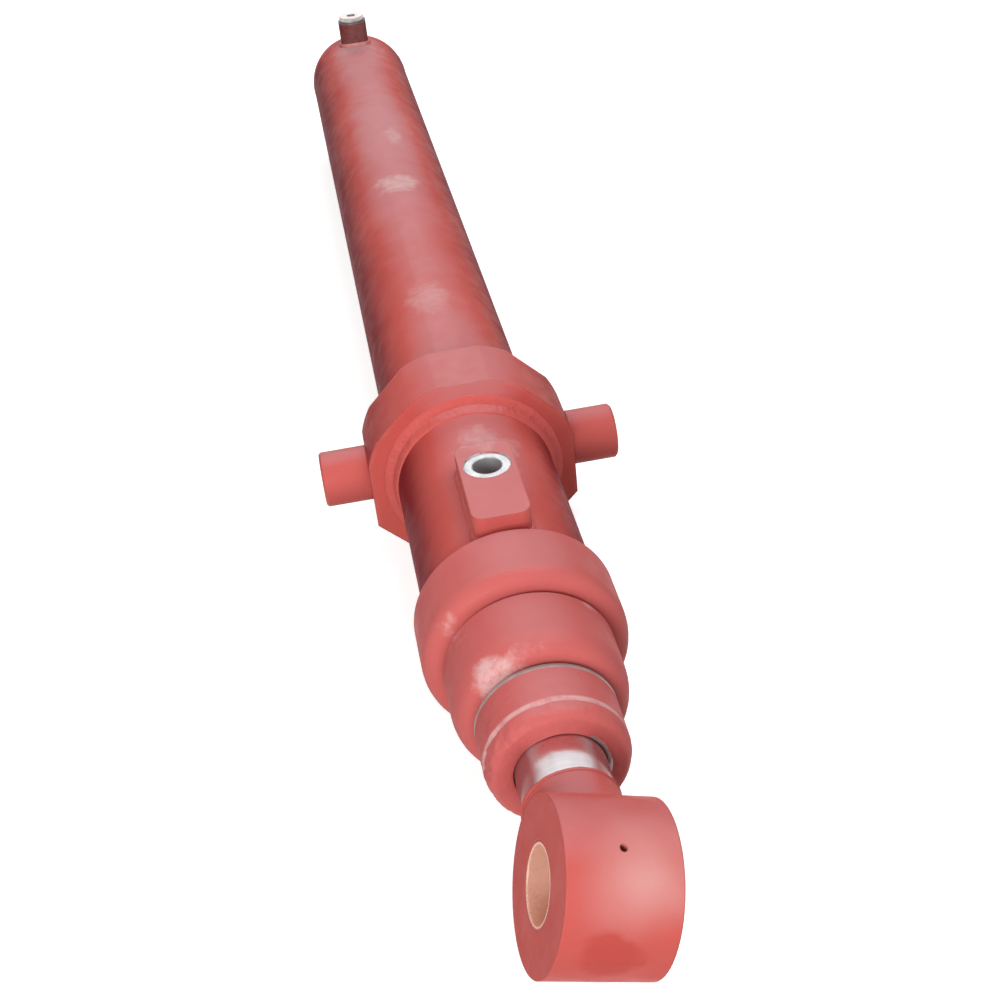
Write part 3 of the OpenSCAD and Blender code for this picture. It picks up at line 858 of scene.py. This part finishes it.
def plan_path(outline):
    """Closed path on the barrel under a closed plan outline of (x, y, out_x, out_y)."""
    path = []
    run = 0.0
    last = None
    for x, y, out_x, out_y in outline:
        foot = on_barrel(x, y)
        if last is not None:
            run += (foot - last).length
        last = foot
        ahead = on_barrel(x + out_x * 0.001, y + out_y * 0.001)
        path.append((foot, (ahead - foot).normalized(), Vector((0.0, 0.0, 1.0)), run))
    return path


def rounded_outline(low, high, corner, step):
    """Plan outline of a rectangle with round corners, with its outward direction at each point."""
    outline = []
    centres = (
        (high.x - corner, high.y - corner, 0.0),
        (low.x + corner, high.y - corner, 90.0),
        (low.x + corner, low.y + corner, 180.0),
        (high.x - corner, low.y + corner, 270.0),
    )
    for index, (x, y, start) in enumerate(centres):
        turns = max(4, int(corner * math.pi / 2 / step))
        for i in range(turns + 1):
            angle = math.radians(start + 90.0 * i / turns)
            out_x, out_y = math.cos(angle), math.sin(angle)
            outline.append((x + corner * out_x, y + corner * out_y, out_x, out_y))
        ahead_x, ahead_y, ahead_start = centres[(index + 1) % 4]
        angle = math.radians(ahead_start)
        first = Vector(outline[-1][:2])
        last = Vector((ahead_x + corner * math.cos(angle), ahead_y + corner * math.sin(angle)))
        steps = max(2, int((last - first).length / step))
        for i in range(1, steps):
            point = first.lerp(last, i / steps)
            outline.append((point.x, point.y, math.cos(angle), math.sin(angle)))
    return outline


def ring_bead(name, face, direction, node, passes, weld):
    """Bead between a face of the trunnion ring and the barrel."""
    low, high = corners(node)
    leg_up = high.y - low.y
    leg_out = (high.x - low.x) / 2 - BARREL_R
    path = circle_path(Vector((0.0, face, AXIS_Z)), BARREL_R, direction, ROUND_STEPS)
    section = fillet_section(leg_out, leg_up, passes)
    return bead(name, path, section, weld, "barrel", passes, direction > 0, (node,))


# Operators.


def settings(context):
    """The finish's settings."""
    return context.scene.cylinder_finish


class CYL_OT_paint(Operator):
    """Enamel the barrel, the ring and its pins, the head, the first collar and the eye"""

    bl_idname = "cylinder.paint"
    bl_label = "Enamel"

    def execute(self, context):
        chosen = settings(context)
        # Each coat's shade sets how much painted shade darkens its sides, and its bleach how much of the painted
        # sheen colour every face gets.
        deep_shade_coat = enamel("red_enamel", chosen.paint, chosen.metal.turned, shade=0.92, bleach=0.0)
        light_shade_coat = enamel("front_enamel", chosen.paint, chosen.metal.turned)
        for node in DEEP_SHADE_PARTS:
            put_on(node, deep_shade_coat)
        for node in LIGHT_SHADE_PARTS:
            put_on(node, light_shade_coat)
        ring_coat = enamel(
            "ring_enamel", chosen.paint, chosen.metal.turned, shade=0.6, edge=0.005, bleach=0.04, rounded=0.75
        )
        put_on("trunnion_ring", ring_coat)
        pin_coat = enamel("pin_enamel", chosen.paint, chosen.metal.turned, shade=0.3, bleach=0.1)
        for node in ("trunnion_pin_left", "trunnion_pin_right"):
            put_on(node, pin_coat)

        # Painted highlight: a pale patch on the upper front of the eye.
        def eye_highlight(tree, where):
            ragged = ramp(tree, clouds(tree, where, 14.0, 2.0, 0.5), 0.3, 0.7, -0.15, 0.15)
            return spot(tree, where, on_eye(40.0, 0.010), (0.062, 0.048, 0.050), ragged, 0.0, 0.75)

        # Painted reflection: a dark patch low on the front of the eye.
        def eye_dark_reflection(tree, where):
            ragged = ramp(tree, clouds(tree, where, 38.0, 2.0, 0.5), 0.3, 0.7, -0.22, 0.22)
            return spot(tree, where, on_eye(92.0, -0.004), (0.027, 0.034, 0.021), ragged, 0.70, 0.85)

        eye_coat = enamel(
            "eye_enamel", chosen.paint, chosen.metal.turned, paled=eye_highlight, painted_reflection=eye_dark_reflection, bleach=0.06
        )
        put_on("rod_eye", eye_coat)
        for node, width in SOFTENED_EDGES.items():
            soften(node, width)
        return {"FINISHED"}


class CYL_OT_ports(Operator):
    """Finish the port block and the base boss, whose machined faces are bare"""

    bl_idname = "cylinder.ports"
    bl_label = "Ports"

    def execute(self, context):
        chosen = settings(context)
        port_mouth = Vector((0.0, PORT_Y, 0.0))

        def spot_face(tree, where):
            off_axis = from_line(tree, where, port_mouth, (0.0, 0.0, 1.0))
            return ramp(tree, off_axis, SPOT_FACE_R, SPOT_FACE_R - 0.0018)

        def boss_face(tree, where):
            return ramp(tree, along(tree, where, "Z"), BOSS_HIGH.z - 0.0035, BOSS_HIGH.z - 0.0010)

        put_on("port_block", enamel("block_enamel", chosen.paint, chosen.metal.turned, spot_face, bleach=0.1))
        boss_coat = enamel("boss_enamel", chosen.paint, chosen.metal.turned, boss_face, tone=0.30, bleach=0.0)
        put_on("base_port_boss", boss_coat)
        zinc = bright_metal("plug_zinc", tuple(chosen.metal.zinc), 0.42, 300.0, 0.00004)
        put_on("base_port_plug", zinc)
        washer = bright_metal("seal_washer", tuple(chosen.metal.turned), 0.40, 300.0, 0.00003)
        put_on("base_port_seal", washer)
        return {"FINISHED"}


class CYL_OT_bright_parts(Operator):
    """Finish the chrome rod, the ground sleeves and the turned steel inside"""

    bl_idname = "cylinder.bright_parts"
    bl_label = "Rod and sleeves"

    def execute(self, context):
        metal = settings(context).metal
        # The rod gets a painted red reflection on its sides.
        red_reflection = tuple(metal.red_reflection)
        chrome = bright_metal("hard_chrome", tuple(metal.chrome), 0.14, 900.0, 0.000012, red_reflection=red_reflection)
        put_on("plunger_rod", chrome)
        ground = bright_metal("ground_steel", tuple(metal.steel), 0.22, 900.0, 0.00002)
        for node in ("sleeve_1_tube", "sleeve_2_tube"):
            put_on(node, ground)
        turned = bright_metal("turned_steel", tuple(metal.turned), 0.34, 1400.0, 0.00004)
        for node in TURNED:
            put_on(node, turned)
        return {"FINISHED"}


class CYL_OT_bearings(Operator):
    """Finish the bronze guides and bearings and the bush in the eye"""

    bl_idname = "cylinder.bearings"
    bl_label = "Bearings"

    def execute(self, context):
        chosen = settings(context)
        bronze = bright_metal("bearing_bronze", tuple(chosen.metal.bronze), 0.36, 700.0, 0.00003)
        for node in BRONZE:
            put_on(node, bronze)

        def bore(tree, where):
            off_axis = from_line(tree, where, EYE["pos_m"], EYE["axis"])
            edge = EYE["dims"]["r_mm"] / 1000
            return ramp(tree, off_axis, edge + 0.0012, edge + 0.0006)

        put_on("eye_bush", enamel("bush_enamel", chosen.paint, chosen.metal.bronze, bore))
        return {"FINISHED"}


class CYL_OT_seals(Operator):
    """Finish the lip seals and the wipers"""

    bl_idname = "cylinder.seals"
    bl_label = "Seals"

    def execute(self, context):
        metal = settings(context).metal
        seal = moulded("polyurethane", tuple(metal.seal), 0.35)
        wiper = moulded("wiper_rubber", tuple(metal.rubber), 0.55)
        for stage in ("barrel", "sleeve_1", "sleeve_2"):
            put_on(stage + "_rod_seal", seal)
            put_on(stage + "_wiper", wiper)
        return {"FINISHED"}


class CYL_OT_front_collar(Operator):
    """Build the front collar with its rough, hand-ground nose"""

    bl_idname = "cylinder.front_collar"
    bl_label = "Front collar"

    def execute(self, context):
        chosen = settings(context)
        shape = chosen.collar
        rim = (COLLAR_HIGH.x - COLLAR_LOW.x) / 2
        bore = ROD_R + shape.gap
        front = COLLAR_LOW.y
        back = front + shape.length
        edge = front + shape.nose_back + 0.003
        outline = [(bore, back - 0.004, 0.0), (bore, front + 0.001, 0.0), (bore + 0.001, front, 0.2)]
        for i in range(15):
            angle = math.pi / 2 * i / 14
            inwards = shape.nose_in * (1.0 - math.sin(angle))
            ahead = shape.nose_back * (1.0 - math.cos(angle))
            groove = shape.step * (1.0 - i / 14) ** 0.5
            outline.append((rim - inwards - groove, front + ahead, 1.0))
        outline.append((rim - shape.step, edge, 0.9))
        outline.append((rim, edge + 0.001, 0.5))
        for i in range(1, 9):
            t = i / 9
            outline.append((rim, edge + 0.001 + (back - shape.tail - edge - 0.001) * t, 0.3 * (1.0 - t) ** 2))
        outline.append((rim, back - shape.tail, 0.0))
        outline.append((rim - shape.tail, back, 0.0))
        outline.append((radius("sleeve_2_tube") + 0.0001, back, 0.0))
        points = []
        for i in range(shape.around):
            angle = 2.0 * math.pi * i / shape.around
            out = Vector((math.cos(angle), 0.0, math.sin(angle)))
            for size, y, rough in outline:
                plain = Vector((0.0, y, AXIS_Z)) + out * size
                lump = noise.noise(plain * 62.0) + 0.55 * noise.noise(plain * 170.0)
                lump += 0.25 * noise.noise(plain * 420.0)
                side = 0.25 + 0.75 * max(0.0, math.cos(angle - math.radians(165)))
                lift = min(0.0, shape.rough * rough * side * (lump - 0.30))
                points.append(plain + out * lift)
        faces = loop_faces(shape.around, len(outline))
        piece = add_piece("front_collar", points, faces, "sleeve_2", "enamel", "sleeve_2_collar")

        # Bare steel on the back chamfer all round, and on the bore's lip only on the right side, where the bare
        # lip stands in for a highlight.
        def bare_rims_and_lip_highlight(tree, where):
            tail = ramp(tree, along(tree, where, "Y"), back - 0.0065, back - 0.0050)
            off_axis = from_line(tree, where, (0.0, 0.0, AXIS_Z), (0.0, 1.0, 0.0))
            lip = ramp(tree, off_axis, bore + 0.0042, bore + 0.0022)
            right = ramp(tree, along(tree, where, "X"), 0.019, 0.027)
            return sum_up(tree, "MAXIMUM", tail, sum_up(tree, "MULTIPLY", lip, right))

        # A pale line along the edge of the ground nose: partly rubbed wear, partly a painted edge highlight.
        def nose_wear_and_highlight(tree, where):
            y = along(tree, where, "Y")
            near = sum_up(tree, "ABSOLUTE", sum_up(tree, "SUBTRACT", y, edge + 0.0005), 0.0)
            return ramp(tree, near, 0.0035, 0.0008, 0.0, 0.55)

        coat = enamel("collar_enamel", chosen.paint, chosen.metal.zinc, bare_rims_and_lip_highlight, 0.0012, nose_wear_and_highlight)
        put_on(piece, coat)
        return {"FINISHED"}


class CYL_OT_ring_welds(Operator):
    """Lay the beads in front of and behind the trunnion ring"""

    bl_idname = "cylinder.ring_welds"
    bl_label = "Ring welds"

    def execute(self, context):
        chosen = settings(context)
        coat = enamel("bead_enamel", chosen.paint, chosen.metal.turned, lumps=0.0004, bleach=0.08)
        put_on(ring_bead("ring_bead_front", RING_FRONT, -1.0, "ring_weld_front", 2, chosen.weld), coat)
        put_on(ring_bead("ring_bead_rear", RING_BACK, 1.0, "ring_weld_rear", 1, chosen.weld), coat)
        return {"FINISHED"}


class CYL_OT_port_welds(Operator):
    """Lay the beads around the port block and around the base boss"""

    bl_idname = "cylinder.port_welds"
    bl_label = "Port welds"

    def execute(self, context):
        chosen = settings(context)
        weld = chosen.weld
        coat = bpy.data.materials["bead_enamel"]
        outline = rounded_outline(BLOCK_LOW, BLOCK_HIGH, BLOCK_CORNER, PATH_STEP)
        section = fillet_section(weld.block_leg, weld.block_leg * 0.8, 1, steps=12)
        around_block = bead(
            "block_bead", plan_path(outline), section, weld, "barrel", nodes=("port_block_weld",), height=0.8
        )
        put_on(around_block, coat)
        boss = (BOSS_LOW + BOSS_HIGH) / 2
        size = (BOSS_HIGH.x - BOSS_LOW.x) / 2
        ring = []
        for i in range(BOSS_STEPS):
            angle = 2.0 * math.pi * i / BOSS_STEPS
            out_x, out_y = math.cos(angle), math.sin(angle)
            ring.append((boss.x + size * out_x, boss.y + size * out_y, out_x, out_y))
        section = fillet_section(weld.boss_leg, weld.boss_leg, 1, steps=12)
        put_on(bead("boss_bead", plan_path(ring), section, weld, "barrel", height=0.8), coat)
        return {"FINISHED"}


class CYL_OT_seam_welds(Operator):
    """Lay the bead over the base seam and the one between the rod and the eye"""

    bl_idname = "cylinder.seam_welds"
    bl_label = "Seam welds"

    def execute(self, context):
        weld = settings(context).weld
        coat = bpy.data.materials["bead_enamel"]
        crown = []
        for i in range(13):
            t = i / 12
            weight = min(1.0, 4.0 * t, 4.0 * (1.0 - t))
            crown.append((weld.seam_h * math.sin(math.pi * t), weld.seam_w * (t - 0.5), weight))
        crown.append((-0.001, weld.seam_w / 2, 0.0))
        crown.append((-0.001, -weld.seam_w / 2, 0.0))
        path = circle_path(Vector((0.0, CAP_SEAM, AXIS_Z)), BARREL_R, 1.0, ROUND_STEPS)
        put_on(bead("base_bead", path, crown, weld, "barrel", nodes=("base_weld",), height=0.5), coat)
        path = circle_path(Vector((0.0, ROD_FRONT, AXIS_Z)), ROD_R, 1.0, ROD_STEPS)
        section = fillet_section(weld.rod_leg * 0.7, weld.rod_leg, 1, steps=10)
        put_on(bead("rod_bead", path, section, weld, "plunger", 1, True, ("eye_weld",), 0.5), coat)
        return {"FINISHED"}


class CYL_OT_stage(Operator):
    """Set the floor, the lamps, the light from all around and the camera"""

    bl_idname = "cylinder.stage"
    bl_label = "Stage"

    def execute(self, context):
        stage = settings(context).stage
        scene = context.scene
        scene.view_settings.view_transform = "Standard"
        build_floor(scene, stage)
        build_sky(scene, stage)
        target = Vector((0.0, HEAD_FRONT + 0.25, AXIS_Z))
        lamps = (
            ("key_lamp", (1.0, -0.5, 2.6), 1.6, stage.key, (1.0, 0.99, 1.0)),
            ("back_lamp", (0.15, 2.8, 1.7), 1.2, stage.back, (1.0, 0.99, 1.0)),
            ("fill_lamp", (-1.2, -2.6, 1.0), 1.4, stage.fill, (1.0, 0.98, 0.96)),
        )
        for name, away, size, power, colour in lamps:
            add_lamp(scene, name, target + Vector(away), target, size, power, colour)
        add_camera(scene, stage)
        return {"FINISHED"}


def build_floor(scene, stage):
    """A broad pale floor just under the cylinder."""
    level = cad_box[0][2] - FLOOR_GAP
    mesh = bpy.data.meshes.new("floor")
    turns = ((-1, -1), (1, -1), (1, 1), (-1, 1))
    mesh.from_pydata([(x * FLOOR_HALF, y * FLOOR_HALF, level) for x, y in turns], [], [(0, 1, 2, 3)])
    floor = bpy.data.objects.new("floor", mesh)
    mesh.materials.append(floor_finish(tuple(stage.floor), stage.bounce, stage.glow))
    scene.collection.objects.link(floor)


def build_sky(scene, stage):
    """Even light from all around, which the camera, gloss and glass see as white."""
    world = bpy.data.worlds.new("studio")
    world.use_nodes = True
    tree = world.node_tree
    background = tree.nodes["Background"]
    seen = seen_rays(tree)
    background.inputs["Color"].default_value = (1.0, 1.0, 1.0, 1.0)
    feed(tree, background.inputs["Strength"], ramp(tree, seen, 0.0, 1.0, stage.sky, 1.0, smooth=False))
    scene.world = world


def add_lamp(scene, name, spot, target, size, power, colour):
    """A square soft lamp at a spot, facing the target."""
    lamp = bpy.data.lights.new(name, "AREA")
    lamp.shape = "SQUARE"
    lamp.size = size
    lamp.energy = power
    lamp.color = colour
    holder = bpy.data.objects.new(name, lamp)
    holder.location = spot
    holder.rotation_euler = (target - spot).to_track_quat("-Z", "Y").to_euler()
    scene.collection.objects.link(holder)


def add_camera(scene, stage):
    """The camera, aimed past the middle of the barrel head and rolled a little."""
    turn, lift = stage.azimuth, stage.elevation
    back = Vector((math.sin(turn) * math.cos(lift), -math.cos(turn) * math.cos(lift), math.sin(lift)))
    level = Vector((0.0, 0.0, 1.0)).cross(back).normalized()
    upright = back.cross(level)
    aim = Vector((0.0, HEAD_FRONT, AXIS_Z)) + level * stage.aim_right + upright * stage.aim_up
    right = level * math.cos(stage.roll) + upright * math.sin(stage.roll)
    up = upright * math.cos(stage.roll) - level * math.sin(stage.roll)
    camera = bpy.data.cameras.new("camera")
    camera.lens = stage.lens
    camera.sensor_width = 36.0
    camera.clip_start = 0.01
    holder = bpy.data.objects.new("camera", camera)
    place_at = aim + back * stage.distance
    holder.matrix_world = Matrix.Translation(place_at) @ Matrix((right, up, back)).transposed().to_4x4()
    scene.collection.objects.link(holder)
    scene.camera = holder


STEPS = (
    CYL_OT_paint,
    CYL_OT_ports,
    CYL_OT_bright_parts,
    CYL_OT_bearings,
    CYL_OT_seals,
    CYL_OT_front_collar,
    CYL_OT_ring_welds,
    CYL_OT_port_welds,
    CYL_OT_seam_welds,
    CYL_OT_stage,
)


class CYL_PT_finish(Panel):
    """Sidebar panel with the settings and the steps of the finish"""

    bl_label = "Cylinder Finish"
    bl_idname = "CYL_PT_finish"
    bl_space_type = "VIEW_3D"
    bl_region_type = "UI"
    bl_category = "Cylinder"

    def draw(self, context):
        chosen = settings(context)
        for group in (chosen.paint, chosen.metal, chosen.weld, chosen.collar, chosen.stage):
            box = self.layout.box()
            for name in group.__annotations__:
                box.prop(group, name)
        for step in STEPS:
            self.layout.operator(step.bl_idname)


GROUPS = (CYL_PG_paint, CYL_PG_metal, CYL_PG_weld, CYL_PG_collar, CYL_PG_stage, CYL_PG_settings)


def register():
    for group in GROUPS + STEPS + (CYL_PT_finish,):
        bpy.utils.register_class(group)
    bpy.types.Scene.cylinder_finish = PointerProperty(type=CYL_PG_settings)


def unregister():
    del bpy.types.Scene.cylinder_finish
    for group in reversed(GROUPS + STEPS + (CYL_PT_finish,)):
        bpy.utils.unregister_class(group)


def main():
    register()
    bpy.ops.cylinder.paint()
    bpy.ops.cylinder.ports()
    bpy.ops.cylinder.bright_parts()
    bpy.ops.cylinder.bearings()
    bpy.ops.cylinder.seals()
    bpy.ops.cylinder.front_collar()
    bpy.ops.cylinder.ring_welds()
    bpy.ops.cylinder.port_welds()
    bpy.ops.cylinder.seam_welds()
    bpy.ops.cylinder.stage()


if __name__ == "__main__":
    main()
